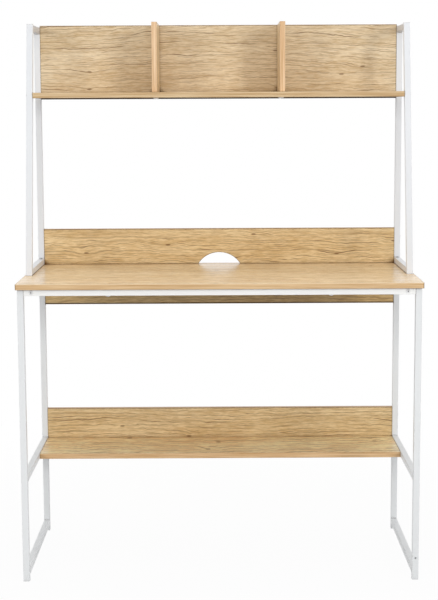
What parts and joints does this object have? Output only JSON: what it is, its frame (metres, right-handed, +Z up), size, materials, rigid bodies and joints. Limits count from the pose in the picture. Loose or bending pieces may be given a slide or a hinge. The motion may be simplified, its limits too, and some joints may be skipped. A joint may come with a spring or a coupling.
{
  "type": "desk with shelves",
  "caption": "Desk with a white square-tube steel frame and oak-look boards: a leaning hutch with a divided upper shelf, a back panel with a cable notch, and a lower shelf.",
  "frame": {"origin": "on the floor, below the middle of the desktop", "axes": "+Z up, +Y from the front edge towards the back panels, +X to the right as seen from the front"},
  "size_m": [1, 0.48, 1.4],
  "materials": {
    "white_steel": "satin powder coat",
    "oak_board": "satin oak-look laminate",
    "edge_band": "satin edge band",
    "white_plastic": "matte",
    "white_screw": "satin",
    "zinc_steel": "zinc plated"
  },
  "bodies": {
    "root": {"back_screws": "zinc_steel", "crossbar_bolts": "white_screw", "crossbar_spigots": "white_steel", "desk_back_panel": "oak_board", "desk_back_panel_edge_band": "edge_band", "desktop": "oak_board", "desktop_edge_bands": "edge_band", "desktop_screws": "white_screw", "divider_screws": "white_screw", "frame_screws": "white_screw", "front_crossbar": "white_steel", "hutch_bolts": "zinc_steel", "hutch_nuts": "zinc_steel", "left_bottom_rail": "white_steel", "left_divider": "oak_board", "left_divider_edge_bands": "edge_band", "left_front_cap": "white_plastic", "left_front_foot": "white_plastic", "left_front_leg": "white_steel", "left_hutch_base_rail": "white_steel", "left_hutch_front_post": "white_steel", "left_hutch_rear_post": "white_steel", "left_hutch_top_rail": "white_steel", "left_rear_cap": "white_plastic", "left_rear_foot": "white_plastic", "left_rear_leg": "white_steel", "left_shelf_rail": "white_steel", "left_top_rail": "white_steel", "lower_back_panel": "oak_board", "lower_back_panel_edge_band": "edge_band", "lower_shelf": "oak_board", "lower_shelf_edge_band": "edge_band", "modesty_panel": "oak_board", "modesty_panel_edge_band": "edge_band", "right_bottom_rail": "white_steel", "right_divider": "oak_board", "right_divider_edge_bands": "edge_band", "right_front_cap": "white_plastic", "right_front_foot": "white_plastic", "right_front_leg": "white_steel", "right_hutch_base_rail": "white_steel", "right_hutch_front_post": "white_steel", "right_hutch_rear_post": "white_steel", "right_hutch_top_rail": "white_steel", "right_rear_cap": "white_plastic", "right_rear_foot": "white_plastic", "right_rear_leg": "white_steel", "right_shelf_rail": "white_steel", "right_top_rail": "white_steel", "upper_back_panel": "oak_board", "upper_back_panel_edge_band": "edge_band", "upper_shelf": "oak_board", "upper_shelf_edge_band": "edge_band"}
  },
  "joints": []
}
